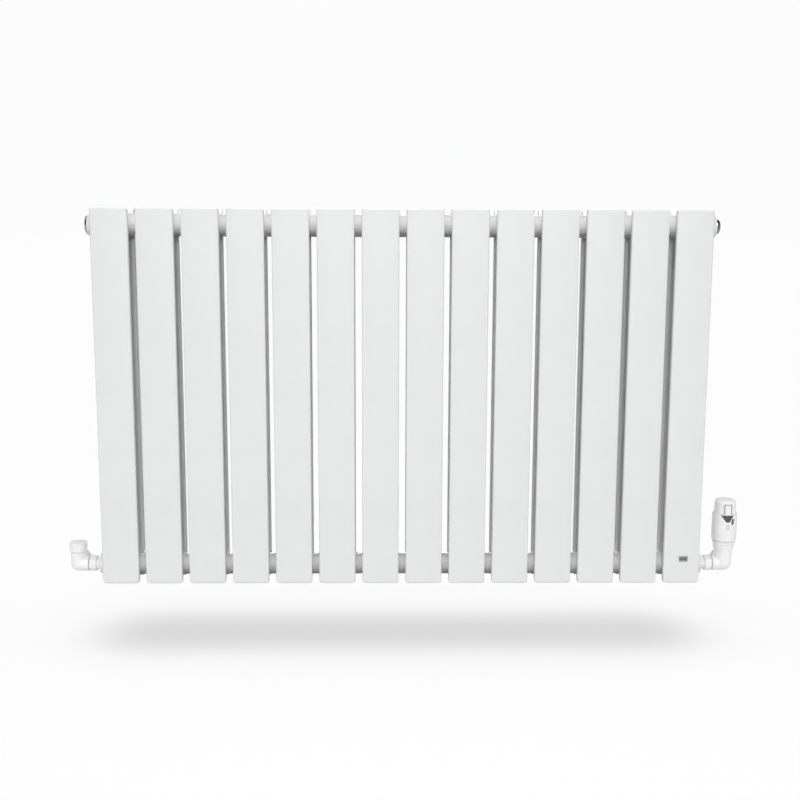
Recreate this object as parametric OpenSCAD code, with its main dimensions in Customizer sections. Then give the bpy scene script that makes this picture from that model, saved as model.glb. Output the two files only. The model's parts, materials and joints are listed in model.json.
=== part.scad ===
// Flat-panel double radiator with a thermostatic valve and a lockshield valve.
// X runs along the radiator, +Y points into the wall and +Z points up.
// The origin lies on the wall plane, at the middle of the wall screws.

/* [Panels] */
// Number of panels in each row
panel_count = 14; // [4:1:14]
// Distance from one panel to the next
panel_pitch = 70; // [64:1:80]
// Width of a panel
panel_w = 58.5; // [50:0.5:60]
// Height of a panel
panel_h = 600; // [580:10:1200]
// Thickness of a panel, front to back
panel_t = 10; // [8:0.5:12]
// Steel thickness of a panel
panel_wall = 1.5; // [1:0.1:2]
// Front face of the front row to rear face of the back row
radiator_depth = 55; // [55:1:60]

/* [Headers] */
// Outside diameter of the two header tubes
header_d = 35; // [32:0.5:35]
// Wall of the header tubes
header_wall = 2; // [1.5:0.1:2.5]
// Header axis to the nearest panel end
header_inset = 26; // [24:1:40]
// Bush face to the side of the outer panel
bush_reach = 7.8; // [7.6:0.1:14]

/* [Valves] */
// Thermostatic valve's axis to the face of the header bush
trv_offset = 38.7; // [38:0.1:44]
// Lockshield valve's axis to the face of the header bush
lock_offset = 37.1; // [37:0.1:44]
// Diameter of the thermostatic valve's body
trv_body_d = 28; // [27.6:0.1:28.6]
// Diameter of the lockshield valve's body
lock_body_d = 25; // [24.6:0.1:26]
// Outside diameter of the heating pipe
pipe_d = 15; // [15:0.1:15.1]
// Lift of the valve pin from shut to fully open
pin_lift = 2.5; // [1.5:0.1:2.8]
// Lift of the lockshield plug from shut to fully open
plug_lift = 3; // [2:0.1:3]

/* [Wall fixing] */
// Rear face of the back row to the wall
wall_gap = 35; // [35:1:60]
// Distance between the left and right brackets
bracket_spacing_x = 630; // [490:140:630]
// Distance between the upper and lower brackets
bracket_spacing_z = 440; // [300:10:440]
// Distance between the two screw holes of a bracket
bracket_hole_spacing = 50; // [46:1:52]
// Diameter of a wall screw hole
bracket_hole_d = 6.5; // [5:0.1:7]

/* [Hidden] */
$fn = 96;
two_digits = function (k) str(k < 10 ? "0" : "", k);
panel_names = function (row) [for (k = [1:panel_count]) str(row, "_panel_", two_digits(k))];

// Clearances: none of these is a fit that another maker's part depends on
thread_gap = 0.05;
running_gap = 0.06;
face_gap = 0.1;
// How far a cut runs past the face that it opens
over = 1;
// Overlap that joins two bodies of one solid
tiny = 0.01;

// Places worked out from the driving dimensions
front_face_y = -(wall_gap + radiator_depth);
back_face_y = -wall_gap;
header_y = front_face_y + radiator_depth / 2;
header_z = panel_h / 2 - header_inset;
panels_half = ((panel_count - 1) * panel_pitch + panel_w) / 2;
bush_face_x = panels_half + bush_reach;
// s is 1 for the thermostatic valve on the right and -1 for the lockshield valve
valve_offset = function (s) s > 0 ? trv_offset : lock_offset;
bracket_xs = [-bracket_spacing_x / 2, bracket_spacing_x / 2];
bracket_zs = [-bracket_spacing_z / 2, bracket_spacing_z / 2];

// Panels
panel_edge_r = 2.5;
panel_top_r = 1.5;
panel_bottom_r = 4;
panel_cap = 2;
panel_inner_r = 1;
port_d = 10;
spigot_d = 16;
spigot_len = 2.6;

// Half-inch pipe thread, drawn as plain cylinders
thread_d = 21;
bush_d = 34;
bush_len = 6.5;
bush_spigot_len = 8;
bush_chamfer = 1.2;
seal_recess = 1.2;
seal_recess_d = 24;

// Union between bush and valve, measured outwards from the bush face
tail_d = 20.4;
tail_bore_d = 13;
tail_shoulder = 0.6;
tail_flange_d = 22.4;
tail_flange_t = 2.5;
tail_thread_len = 9;
union_nut_d = 25.8;
union_nut_af = 24.6;
union_nut_start = 7.2;
union_nut_lip = 2.8;
union_nut_end = 18.7;
union_nut_taper = 2.4;
union_nut_chamfer = 0.7;
union_nut_hole_d = 21.4;
union_thread_d = 22.8;
union_face = 19;
union_spigot_start = 12.7;

// Compression joint towards the wall, measured from the valve axis
inlet_arm_d = 25;
inlet_arm_end = 17;
inlet_thread_d = 22;
inlet_mouth = 27;
inlet_socket_len = 12;
inlet_passage_d = 10;
inlet_nut_af = 25;
inlet_nut_start = 17.6;
inlet_nut_end = 33;
inlet_nut_d = 28.8;
inlet_nut_face_d = 26.6;
inlet_nut_chamfer = 1.2;
inlet_nut_end_d = 24;
inlet_nut_end_taper = 2;
inlet_nut_thread_end = 28.5;
olive_cone_d = 19;
olive_cone_len = 3;
olive_d = 17.8;
olive_end_d = 16.6;
olive_w = 3;
socket_d = pipe_d + 0.2;

// Valve heights are measured from the header axis
seat_z = 0;
seat_gap = 0.2;
chamber_d = 17;
lower_chamber_d = 9;
lower_chamber_z = -8.5;
heel_passage_d = 7;
outlet_passage_d = 9;
outlet_passage_z = 5;
trv_neck_top = 24;
trv_body_top = 29;
trv_thread_d = 27.5;
insert_bottom = 12;
insert_top = 28.5;
spring_cavity_d = 11;
spring_cavity_bottom = 13.5;
gland_bottom = 25.5;
gland_top = 32;
gland_af = 11.6;
seat_disc_d = 13;
seat_disc_t = 2.5;
pin_d = 4;
pin_top = 36;
pin_foot_d = 10;
pin_foot_t = 1.5;
pin_collar_d = 9;
pin_collar_t = 1.4;
pin_collar_z = gland_bottom - pin_lift - pin_collar_t - 1.1;
pin_spring_r = 3.9;
pin_spring_wire = 0.9;
spring_turns = 5;
collar_nut_d = 33.8;
collar_nut_bottom_d = 32.4;
collar_nut_bottom = 24.2;
collar_nut_top = 32.4;
collar_nut_edge = 0.6;
head_foot_d = 27.1;
head_foot_low = trv_body_top + face_gap;
head_foot_top = trv_body_top + 2;
head_neck_d = 24;
head_bore = 14;
head_edge = 0.6;
head_neck_top = 32.8;
head_ring_d = 34.9;
head_ring_top_d = 36.9;
head_ring_top = 38.6;
core_d = 30;
core_bore = 27.4;
core_floor = 41.6;
core_top = 84;
sleeve_bottom = 39.2;
sleeve_top = 85;
sleeve_max_r = 19.9;
sleeve_barrel_r = 600;
sleeve_widest_z = 62;
sleeve_inner_d = 33;
sleeve_bearing = 6;
cap_d = 35.4;
cap_top_d = 33.4;
cap_top = 108.5;
cap_dome = 1.2;
cap_edge_r = 5;
cap_wall = 2;
cap_gap = 0.3;
cap_rim_t = 1.6;
sensor_d = 26.6;
sensor_wall = 1.2;
sensor_edge = 1;
sensor_port_d = 12;
sensor_rod_d = 8;
sensor_bottom = 46;
sensor_top = 74;
overtravel_top = 103;
overtravel_r = 9;
overtravel_wire = 1.4;
tab_w = 13;
tab_t = 0.9;
tab_bottom = 85.4;
tab_top = 102;

// Lockshield heights, also from the header axis
lock_neck_top = 19.3;
lock_gland_bottom = 13.2;
lock_gland_af = 19;
lock_gland_top = 26;
lock_spindle_d = 8;
lock_spindle_top = 31.5;
lock_key_af = 5.5;
lock_thread_d = 5;
lock_shoulder = 11.5;
lock_collar_d = 11;
lock_plug_top = lock_shoulder - plug_lift - 1;
lock_plug_d = 13;
lock_plug_floor = 1.6;
lock_thread_low = seat_z + seat_gap + lock_plug_floor + plug_lift + 0.4;
lock_cap_bore = 9.4;
lock_cap_room = 0.8;
lock_cap_d = 28;
lock_cap_bottom = 19.5;
lock_cap_taper = 3.8;
lock_cap_top = 36.2;
lock_cap_dome = 1.4;
lock_cap_edge_r = 2;
lock_cap_bottom_d = 25;

// Plug, vent and badge
stem_len = 10;
plug_d = 29;
plug_t = 3.6;
plug_edge = 1.1;
plug_key_af = 8;
plug_key_depth = 5;
vent_flange_d = 28.6;
vent_flange_t = 1.8;
vent_flange_edge = 0.8;
vent_hex_af = 19.5;
vent_hex_d = 22.6;
vent_hex_end_d = 19.1;
vent_hex_edge = 1.2;
vent_reach = 6.8;
vent_recess_d = 10;
vent_recess = 4.4;
vent_outlet_d = 2;
bleed_thread_d = 6;
bleed_len = 9;
bleed_key_af = 5;
bleed_key_rise = 0.3;
bleed_key_inset = 0.4;
badge_w = 15;
badge_h = 10;
badge_r = 1.2;
badge_t = 0.8;
badge_x = 457.5;
badge_rise = 40.5;

// Wall brackets, each drawn about its own plate centre on the wall
bracket_plate_w = 32;
bracket_plate_h = 74;
bracket_plate_t = 3;
bracket_plate_r = 4;
bracket_arm_t = 5;
bracket_arm_cut_r = 12;
notch_open = 40;
bracket_arm_reach = 27;
bracket_arm_low = -22;
bracket_arm_high = 8;
notch_y = -18;
notch_w = 5.4;
notch_floor = -6;
liner_t = 1.1;
liner_over = 4;
lug_w = 30;
lug_t = 3;
lug_low = -8;
lug_high = 22;
lug_leg_z = 9.6;

// ---- shapes shared by several pieces ----

// A rectangle with round corners, centred
module round_rect(w, h, r) {
    square([w - 2 * r, h], center = true);
    square([w, h - 2 * r], center = true);
    for (sx = [-1, 1], sy = [-1, 1])
        translate([sx * (w / 2 - r), sy * (h / 2 - r)]) circle(r);
}

// Front outline of a panel: small round corners on top, larger ones below
module panel_outline() {
    mid = (panel_bottom_r - panel_top_r) / 2;
    translate([0, mid]) square([panel_w, panel_h - panel_bottom_r - panel_top_r], center = true);
    square([panel_w - 2 * panel_bottom_r, panel_h], center = true);
    translate([0, panel_h / 4]) square([panel_w - 2 * panel_top_r, panel_h / 2], center = true);
    for (s = [-1, 1]) {
        translate([s * (panel_w / 2 - panel_top_r), panel_h / 2 - panel_top_r]) circle(panel_top_r);
        translate([s * (panel_w / 2 - panel_bottom_r), panel_bottom_r - panel_h / 2])
            circle(panel_bottom_r);
    }
}

// A cylinder along +X that starts at x0
module rod_x(d, x0, x1) {
    translate([x0, 0, 0]) rotate([0, 90, 0]) cylinder(d = d, h = x1 - x0);
}

// A cylinder along +Y that starts at y0
module rod_y(d, y0, y1) {
    translate([0, y0, 0]) rotate([-90, 0, 0]) cylinder(d = d, h = y1 - y0);
}

// A cylinder along +Z that starts at z0
module rod_z(d, z0, z1) {
    translate([0, 0, z0]) cylinder(d = d, h = z1 - z0);
}

// A hexagonal bar along +Z, given across its flats
module hex_z(af, z0, z1) {
    translate([0, 0, z0]) cylinder(d = af / cos(30), h = z1 - z0, $fn = 6);
}

// A solid turned about Z from its half outline
module turned(outline) {
    rotate_extrude() polygon(outline);
}

// Points of a quarter round, centre c, from angle a0 to a1
function arc(c, r, a0, a1, steps = 6) =
    [for (i = [0:steps]) let (a = a0 + (a1 - a0) * i / steps) c + r * [cos(a), sin(a)]];

// A closed coil spring: a round wire swept along a helix
module coil_spring(mean_r, wire_d, z0, z1, turns) {
    sides = 8;
    rings = turns * 16;
    low = z0 + wire_d / 2;
    high = z1 - wire_d / 2;
    points = [
        for (i = [0:rings], j = [0:sides - 1])
            let (a = 360 * turns * i / rings, b = 360 * j / sides, r = mean_r + wire_d / 2 * cos(b))
            [r * cos(a), r * sin(a), low + (high - low) * i / rings + wire_d / 2 * sin(b)]
    ];
    walls = [
        for (i = [0:rings - 1], j = [0:sides - 1])
            let (k = (j + 1) % sides)
            [i * sides + j, (i + 1) * sides + j, (i + 1) * sides + k, i * sides + k]
    ];
    start_cap = [[for (j = [0:sides - 1]) j]];
    end_cap = [[for (j = [sides - 1:-1:0]) rings * sides + j]];
    polyhedron(points, concat(walls, start_cap, end_cap));
}

// Places its children at a header end: s = -1 left or 1 right, t = -1 bottom or 1 top.
// X = 0 is the bush face and +X points outwards.
module at_bush(s, t) {
    translate([s * bush_face_x, header_y, t * header_z]) rotate([0, 0, s > 0 ? 0 : 180]) children();
}

// Places its children on a valve axis, with the header axis at Z = 0
module at_valve(s) {
    translate([s * (bush_face_x + valve_offset(s)), header_y, -header_z]) children();
}

// ---- panels and headers ----

module panel_solid() {
    intersection() {
        linear_extrude(panel_h, center = true) round_rect(panel_w, panel_t, panel_edge_r);
        rotate([90, 0, 0]) linear_extrude(panel_t, center = true) panel_outline();
    }
}

// One panel; side = 1 has its ports on the wall side, -1 on the room side
module panel(k, y, side) {
    translate([(k - (panel_count + 1) / 2) * panel_pitch, y, 0])
        difference() {
            union() {
                panel_solid();
                for (z = [-header_z, header_z])
                    translate([0, side * (panel_t / 2 - tiny), z])
                        rotate([-90 * side, 0, 0]) cylinder(d = spigot_d, h = spigot_len);
            }
            linear_extrude(panel_h - 2 * panel_cap, center = true)
                round_rect(panel_w - 2 * panel_wall, panel_t - 2 * panel_wall, panel_inner_r);
            for (z = [-header_z, header_z])
                translate([0, 0, z]) {
                    translate([0, header_y - y, 0])
                        rotate([0, 90, 0])
                            cylinder(d = header_d + 2 * thread_gap, h = panel_w, center = true);
                    rotate([-90 * side, 0, 0]) cylinder(d = port_d, h = header_d);
                }
        }
}

module front_panel(k) {
    color("whitesmoke") panel(k, front_face_y + panel_t / 2, 1);
}

module back_panel(k) {
    color("whitesmoke") panel(k, back_face_y - panel_t / 2, -1);
}

// t = 1 is the top header, -1 the bottom one
module header(t) {
    half = bush_face_x - bush_len;
    color("white") translate([0, header_y, t * header_z])
        difference() {
            rod_x(header_d, -half, half);
            rod_x(header_d - 2 * header_wall, -half - over, half + over);
            for (k = [1:panel_count])
                translate([(k - (panel_count + 1) / 2) * panel_pitch, 0, 0])
                    rod_y(port_d, -header_d, header_d);
        }
}

module top_header() {
    header(1);
}

module bottom_header() {
    header(-1);
}

module header_end_bushes() {
    bore_r = thread_d / 2;
    inner_r = header_d / 2 - header_wall - thread_gap;
    color("white") for (s = [-1, 1], t = [-1, 1])
        at_bush(s, t) rotate([0, 90, 0])
            turned([
                [bore_r, -bush_len - bush_spigot_len],
                [inner_r, -bush_len - bush_spigot_len],
                [inner_r, -bush_len],
                [bush_d / 2, -bush_len],
                [bush_d / 2, -bush_chamfer],
                [bush_d / 2 - bush_chamfer, 0],
                [seal_recess_d / 2, 0],
                [seal_recess_d / 2, -seal_recess],
                [bore_r, -seal_recess]
            ]);
}

module badge_plate() {
    color("dimgray") translate([badge_x, front_face_y - badge_t, badge_rise - panel_h / 2])
        rotate([-90, 0, 0]) linear_extrude(badge_t) round_rect(badge_w, badge_h, badge_r);
}

// ---- fittings in the top header ----

module plug_seals() {
    color("black") for (s = [-1, 1])
        at_bush(s, 1) rotate([0, 90, 0])
            turned([
                [thread_d / 2, -seal_recess + thread_gap],
                [seal_recess_d / 2 - thread_gap, -seal_recess + thread_gap],
                [seal_recess_d / 2 - thread_gap, -thread_gap],
                [thread_d / 2, -thread_gap]
            ]);
}

module blanking_plug() {
    stem_r = thread_d / 2 - thread_gap;
    rim_r = plug_d / 2;
    color("silver") at_bush(-1, 1)
        rotate([0, 90, 0])
            difference() {
                turned([
                    [0, -stem_len],
                    [stem_r, -stem_len],
                    [stem_r, 0],
                    [rim_r, 0],
                    [rim_r, plug_t - plug_edge],
                    [rim_r - plug_edge, plug_t],
                    [0, plug_t]
                ]);
                hex_z(plug_key_af, plug_t - plug_key_depth, plug_t + over);
            }
}

module air_vent_body() {
    stem_r = thread_d / 2 - thread_gap;
    rim_r = vent_flange_d / 2;
    color("silver") at_bush(1, 1)
        difference() {
            rotate([0, 90, 0]) {
                turned([
                    [0, -stem_len],
                    [stem_r, -stem_len],
                    [stem_r, 0],
                    [rim_r, 0],
                    [rim_r, vent_flange_t - vent_flange_edge],
                    [rim_r - vent_flange_edge, vent_flange_t],
                    [0, vent_flange_t]
                ]);
                intersection() {
                    hex_z(vent_hex_af, vent_flange_t - tiny, vent_reach);
                    turned([
                        [0, 0],
                        [vent_hex_d / 2, 0],
                        [vent_hex_d / 2, vent_reach - vent_hex_edge],
                        [vent_hex_end_d / 2, vent_reach],
                        [0, vent_reach]
                    ]);
                }
            }
            rod_x(vent_recess_d, vent_reach - vent_recess, vent_reach + over);
            rod_x(bleed_thread_d, -stem_len - over, vent_reach);
            translate([(vent_reach + vent_outlet_d) / 2, 0, 0]) rod_z(vent_outlet_d, -vent_hex_af, 0);
        }
}

module bleed_screw() {
    key_low = vent_reach - vent_recess + bleed_key_rise;
    color("gainsboro") at_bush(1, 1) {
        rod_x(bleed_thread_d - 2 * running_gap, -bleed_len, key_low);
        translate([key_low, -bleed_key_af / 2, -bleed_key_af / 2])
            cube([vent_reach - bleed_key_inset - key_low, bleed_key_af, bleed_key_af]);
    }
}

// ---- wall fixing ----

// Side view of a bracket arm, with its hook opening upwards
module arm_outline() {
    difference() {
        translate([-bracket_arm_reach, bracket_arm_low])
            square([bracket_arm_reach - bracket_plate_t + tiny, bracket_arm_high - bracket_arm_low]);
        translate([notch_y - notch_w / 2, notch_floor]) square([notch_w, notch_open]);
        translate([-bracket_arm_reach, bracket_arm_low]) circle(bracket_arm_cut_r);
    }
}

module at_brackets() {
    for (x = bracket_xs, z = bracket_zs) translate([x, 0, z]) children();
}

// Turns a side view drawn in Y and Z into a plate of the given thickness along X
module side_plate(t) {
    rotate([90, 0, 90]) linear_extrude(t, center = true) children();
}

module wall_brackets() {
    color("white") at_brackets() {
        difference() {
            union() {
                translate([0, -bracket_plate_t, 0]) rotate([-90, 0, 0])
                    linear_extrude(bracket_plate_t)
                        round_rect(bracket_plate_w, bracket_plate_h, bracket_plate_r);
                side_plate(bracket_arm_t) arm_outline();
            }
            for (z = [-bracket_hole_spacing / 2, bracket_hole_spacing / 2])
                translate([0, 0, z]) rod_y(bracket_hole_d, -bracket_plate_t - over, over);
        }
    }
}

// Nylon liner that the lug's tongue drops into
module bracket_liners() {
    color("lightgray") at_brackets()
        side_plate(bracket_arm_t + liner_over)
            difference() {
                translate([notch_y - notch_w / 2, notch_floor])
                    square([notch_w, bracket_arm_high - notch_floor]);
                translate([notch_y - notch_w / 2 + liner_t, notch_floor + liner_t])
                    square([notch_w - 2 * liner_t, notch_open]);
            }
}

module hanging_lugs() {
    tongue_end = notch_y + lug_t / 2;
    color("white") at_brackets()
        side_plate(lug_w) {
            translate([back_face_y, lug_low]) square([lug_t, lug_high - lug_low]);
            translate([back_face_y, lug_leg_z]) square([tongue_end - back_face_y, lug_t]);
            translate([notch_y - lug_t / 2, notch_floor + liner_t])
                square([lug_t, lug_leg_z + lug_t - notch_floor - liner_t]);
        }
}

// ---- union between the bush and each valve ----

module union_tails() {
    thread_r = thread_d / 2 - thread_gap;
    flange_end = union_spigot_start - 2 * face_gap;
    color("white") for (s = [-1, 1])
        at_bush(s, -1) rotate([0, 90, 0])
            difference() {
                turned([
                    [0, -tail_thread_len],
                    [thread_r, -tail_thread_len],
                    [thread_r, 0],
                    [tail_d / 2, tail_shoulder],
                    [tail_d / 2, flange_end - tail_flange_t],
                    [tail_flange_d / 2, flange_end - tail_flange_t],
                    [tail_flange_d / 2, flange_end],
                    [0, flange_end]
                ]);
                rod_z(tail_bore_d, -tail_thread_len - over, flange_end + over);
            }
}

module union_nuts() {
    outer_r = union_nut_d / 2;
    color("white") for (s = [-1, 1])
        at_bush(s, -1) rotate([0, 90, 0])
            difference() {
                intersection() {
                    turned([
                        [0, union_nut_start],
                        [outer_r - union_nut_taper, union_nut_start],
                        [outer_r, union_nut_start + union_nut_taper],
                        [outer_r, union_nut_end - union_nut_chamfer],
                        [outer_r - union_nut_chamfer, union_nut_end],
                        [0, union_nut_end]
                    ]);
                    hex_z(union_nut_af, union_nut_start, union_nut_end);
                }
                rod_z(union_nut_hole_d, union_nut_start - over, union_nut_end);
                rod_z(union_thread_d + 2 * thread_gap, union_nut_start + union_nut_lip, union_nut_end + over);
            }
}

// Outer shape of a corner valve's two side arms and its round heel.
// s is the side of the radiator, so the union arm points back towards the bush.
module valve_arms(body_d, s) {
    heel_z = body_d / 2 - inlet_arm_d / 2;
    translate([0, 0, heel_z]) sphere(d = body_d);
    rotate([0, 0, s > 0 ? 180 : 0]) {
        rod_x(inlet_arm_d, 0, valve_offset(s) - union_face);
        rod_x(union_thread_d, 0, valve_offset(s) - union_spigot_start);
    }
    rod_y(inlet_arm_d, 0, inlet_arm_end);
    rod_y(inlet_thread_d, 0, inlet_mouth);
}

// Water ways of a corner valve: in from the wall, up through the seat, out to the bush
module valve_water_ways(s) {
    socket_end = inlet_mouth - inlet_socket_len;
    rotate([0, 0, s > 0 ? 180 : 0]) {
        rod_x(tail_bore_d, valve_offset(s) - union_face, valve_offset(s));
        translate([0, 0, outlet_passage_z])
            rod_x(outlet_passage_d, 0, valve_offset(s) - union_face + over);
    }
    rod_y(socket_d, socket_end, inlet_mouth + over);
    rod_y(inlet_passage_d, socket_end - 4, socket_end + over);
    translate([0, 0, (lower_chamber_z + seat_z) / 2]) rod_y(heel_passage_d, 0, socket_end - 2);
    rod_z(lower_chamber_d, lower_chamber_z, seat_z + over);
}

module compression_nuts() {
    cone_start = inlet_nut_thread_end - 0.1;
    color("white") for (s = [-1, 1])
        at_valve(s) rotate([-90, 0, 0])
            difference() {
                intersection() {
                    hex_z(inlet_nut_af, inlet_nut_start, inlet_nut_end);
                    turned([
                        [0, inlet_nut_start],
                        [inlet_nut_face_d / 2, inlet_nut_start],
                        [inlet_nut_d / 2, inlet_nut_start + inlet_nut_chamfer],
                        [inlet_nut_d / 2, inlet_nut_end - inlet_nut_end_taper],
                        [inlet_nut_end_d / 2, inlet_nut_end],
                        [0, inlet_nut_end]
                    ]);
                }
                rod_z(inlet_thread_d + 2 * thread_gap, inlet_nut_start - over, inlet_nut_thread_end);
                translate([0, 0, cone_start]) cylinder(d1 = olive_cone_d, d2 = socket_d, h = olive_cone_len);
                rod_z(socket_d, inlet_mouth, inlet_nut_end + over);
            }
}

module olives() {
    color("peru") for (s = [-1, 1])
        at_valve(s) rotate([-90, 0, 0]) translate([0, 0, inlet_mouth + face_gap])
            turned([
                [socket_d / 2, 0],
                [olive_end_d / 2, 0],
                [olive_d / 2, olive_w * 0.4],
                [olive_end_d / 2, olive_w * 0.8],
                [socket_d / 2, olive_w]
            ]);
}

// ---- thermostatic valve ----

module trv_body() {
    color("white") at_valve(1)
        difference() {
            union() {
                valve_arms(trv_body_d, 1);
                rod_z(trv_body_d, (trv_body_d - inlet_arm_d) / 2, trv_neck_top);
                rod_z(trv_thread_d, 0, trv_body_top);
            }
            valve_water_ways(1);
            rod_z(chamber_d, seat_z, trv_body_top + over);
        }
}

module trv_insert() {
    color("goldenrod") at_valve(1)
        difference() {
            rod_z(chamber_d - 2 * thread_gap, insert_bottom, insert_top);
            rod_z(spring_cavity_d, spring_cavity_bottom, insert_top + over);
            rod_z(pin_d + 2 * running_gap, insert_bottom - over, insert_top);
        }
}

module trv_gland() {
    color("goldenrod") at_valve(1)
        difference() {
            union() {
                rod_z(spring_cavity_d - 2 * thread_gap, gland_bottom, insert_top + 2 * face_gap);
                hex_z(gland_af, insert_top + face_gap, gland_top);
            }
            rod_z(pin_d + 2 * running_gap, gland_bottom - over, gland_top + over);
        }
}

module trv_pin() {
    foot = seat_z + seat_gap + seat_disc_t;
    color("silver") at_valve(1) {
        rod_z(pin_d, foot, pin_top);
        rod_z(pin_foot_d, foot, foot + pin_foot_t);
        rod_z(pin_collar_d, pin_collar_z, pin_collar_z + pin_collar_t);
    }
}

module trv_seat_disc() {
    low = seat_z + seat_gap;
    color("black") at_valve(1) rod_z(seat_disc_d, low, low + seat_disc_t);
}

module trv_spring() {
    low = spring_cavity_bottom + thread_gap;
    color("gray") at_valve(1)
        coil_spring(pin_spring_r, pin_spring_wire, low, pin_collar_z - thread_gap, spring_turns);
}

module trv_collar_nut() {
    face_r = collar_nut_bottom_d / 2;
    top_r = collar_nut_d / 2;
    color("white") at_valve(1)
        difference() {
            turned([
                [0, collar_nut_bottom],
                [face_r - collar_nut_edge, collar_nut_bottom],
                [face_r, collar_nut_bottom + collar_nut_edge],
                [top_r, collar_nut_top - collar_nut_edge],
                [top_r - collar_nut_edge, collar_nut_top],
                [0, collar_nut_top]
            ]);
            rod_z(trv_thread_d + 2 * thread_gap, collar_nut_bottom - over, head_foot_top + face_gap);
            rod_z(head_neck_d + 2 * face_gap, collar_nut_bottom, collar_nut_top + over);
        }
}

module trv_head_base() {
    ring_r = head_ring_d / 2;
    ring_top_r = head_ring_top_d / 2;
    color("whitesmoke") at_valve(1)
        difference() {
            turned([
                [0, head_foot_low],
                [head_foot_d / 2, head_foot_low],
                [head_foot_d / 2, head_foot_top],
                [head_neck_d / 2, head_foot_top],
                [head_neck_d / 2, head_neck_top],
                [ring_r - head_edge, head_neck_top],
                [ring_r, head_neck_top + head_edge],
                [ring_top_r, head_ring_top - head_edge],
                [ring_top_r - head_edge, head_ring_top],
                [core_d / 2, head_ring_top],
                [core_d / 2, core_top],
                [0, core_top]
            ]);
            rod_z(head_bore, trv_body_top - over, core_top);
            rod_z(core_bore, core_floor, core_top + over);
        }
}

// A thin capsule that is closed below by a rod and open above by a filling port
module trv_sensor() {
    outer_r = sensor_d / 2;
    color("gray") at_valve(1) {
        rod_z(sensor_rod_d, pin_top + face_gap, sensor_bottom + tiny);
        difference() {
            turned([
                [0, sensor_bottom],
                [outer_r - sensor_edge, sensor_bottom],
                [outer_r, sensor_bottom + sensor_edge],
                [outer_r, sensor_top - sensor_edge],
                [outer_r - sensor_edge, sensor_top],
                [0, sensor_top]
            ]);
            rod_z(sensor_d - 2 * sensor_wall, sensor_bottom + sensor_wall, sensor_top - sensor_wall);
            rod_z(sensor_port_d, sensor_top - 2 * sensor_wall, sensor_top + over);
        }
    }
}

module trv_overtravel_spring() {
    color("gray") at_valve(1)
        coil_spring(overtravel_r, overtravel_wire, sensor_top + face_gap, overtravel_top, spring_turns);
}

// Slightly barrelled sleeve that turns about the head's core
module trv_sleeve() {
    bearing_r = core_d / 2 + running_gap;
    color("whitesmoke") at_valve(1)
        rotate_extrude()
            difference() {
                intersection() {
                    translate([sleeve_max_r - sleeve_barrel_r, sleeve_widest_z])
                        circle(sleeve_barrel_r, $fn = 720);
                    translate([bearing_r, sleeve_bottom])
                        square([sleeve_max_r, sleeve_top - sleeve_bottom]);
                }
                translate([0, sleeve_bottom + sleeve_bearing])
                    square([sleeve_inner_d / 2, sleeve_top - sleeve_bottom - 2 * sleeve_bearing]);
            }
}

// Half outline of a domed cap; every wall is moved in by t
function cap_outline(d, top_d, z0, z1, dome, r, t) = concat(
    [[0, z0], [d / 2 - t, z0]],
    arc([top_d / 2 - r, z1 - dome - r], r - t, 0, 78),
    [[0, z1 - t]]
);

module trv_cap() {
    cap_bottom = sleeve_top + cap_gap;
    color("whitesmoke") at_valve(1) {
        difference() {
            turned(cap_outline(cap_d, cap_top_d, cap_bottom, cap_top, cap_dome, cap_edge_r, 0));
            turned(cap_outline(cap_d, cap_top_d, cap_bottom - over, cap_top, cap_dome, cap_edge_r, cap_wall));
        }
        difference() {
            rod_z(cap_d - cap_wall, cap_bottom, cap_bottom + cap_rim_t);
            rod_z(core_bore, cap_bottom - over, cap_bottom + cap_rim_t + over);
        }
        intersection() {
            translate([-tab_w / 2, -cap_d, tab_bottom]) cube([tab_w, cap_d, tab_top - tab_bottom]);
            difference() {
                rod_z(cap_d + 2 * tab_t, tab_bottom, tab_top);
                rod_z(cap_d - cap_wall, tab_bottom - over, tab_top + over);
            }
        }
    }
}

// ---- lockshield valve ----

module lockshield_body() {
    color("white") at_valve(-1)
        difference() {
            union() {
                valve_arms(lock_body_d, -1);
                rod_z(lock_body_d, 0, lock_neck_top);
            }
            valve_water_ways(-1);
            rod_z(chamber_d, seat_z, lock_neck_top + over);
        }
}

module lockshield_gland() {
    color("goldenrod") at_valve(-1)
        difference() {
            union() {
                rod_z(chamber_d - 2 * thread_gap, lock_gland_bottom, lock_neck_top + 2 * face_gap);
                hex_z(lock_gland_af, lock_neck_top + face_gap, lock_gland_top);
            }
            rod_z(lock_spindle_d + 2 * running_gap, lock_gland_bottom - over, lock_gland_top + over);
        }
}

module lockshield_spindle() {
    color("goldenrod") at_valve(-1) {
        rod_z(lock_thread_d, lock_thread_low, lock_shoulder + tiny);
        rod_z(lock_collar_d, lock_shoulder, lock_gland_bottom - 2 * face_gap);
        rod_z(lock_spindle_d, lock_shoulder, lock_gland_top + 0.6);
        translate([-lock_key_af / 2, -lock_key_af / 2, lock_gland_top])
            cube([lock_key_af, lock_key_af, lock_spindle_top - lock_gland_top]);
    }
}

module lockshield_plug() {
    low = seat_z + seat_gap;
    color("goldenrod") at_valve(-1)
        difference() {
            rod_z(lock_plug_d, low, lock_plug_top);
            rod_z(lock_thread_d + 2 * running_gap, low + lock_plug_floor, lock_plug_top + over);
        }
}

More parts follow.
